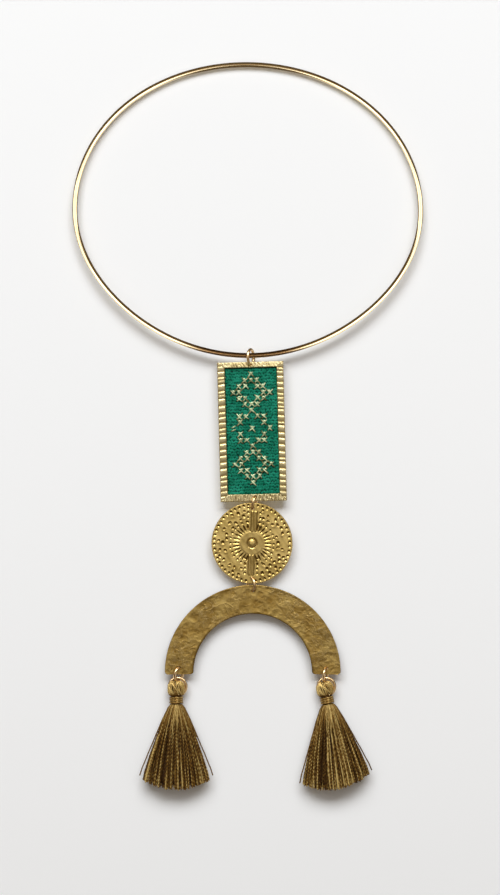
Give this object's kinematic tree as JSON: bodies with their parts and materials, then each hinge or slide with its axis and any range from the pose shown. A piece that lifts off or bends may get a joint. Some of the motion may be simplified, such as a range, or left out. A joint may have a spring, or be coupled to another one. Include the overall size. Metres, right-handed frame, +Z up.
{
  "type": "bib necklace",
  "caption": "Rigid oval brass collar with a vertical drop: embroidered framed panel, cast medallion, hammered half ring and two thread tassels, lying flat.",
  "frame": {"origin": "on the surface that the necklace lies on, under the middle of its box", "axes": "+Y from the tassels to the back of the collar, +X to the right, +Z up from the surface"},
  "size_m": [0.1404, 0.2914, 0.0074],
  "materials": {
    "collar_brass": "polished pale gold brass",
    "ring_brass": "polished brass wire",
    "frame_brass": "fluted pale brass, dark in the grooves",
    "disc_brass": "cast brass, antiqued in the relief",
    "arch_brass": "hammered antique brass",
    "green_cloth": "emerald ribbed cloth with pale gold cross stitches",
    "tassel_thread": "olive bronze viscose thread",
    "wrap_thread": "olive bronze thread binding"
  },
  "bodies": {
    "root": {"neck_ring": "collar_brass", "jump_ring_top": "ring_brass", "panel_frame": "frame_brass", "embroidered_cloth": "green_cloth", "jump_ring_middle": "ring_brass", "disc": "disc_brass", "jump_ring_lower": "ring_brass", "arch": "arch_brass", "jump_ring_left": "ring_brass", "jump_ring_right": "ring_brass", "tassel_ring_left": "ring_brass", "tassel_ring_right": "ring_brass", "tassel_left": "tassel_thread", "tassel_right": "tassel_thread", "neck_wrap_left": "wrap_thread", "neck_wrap_right": "wrap_thread"}
  },
  "joints": []
}
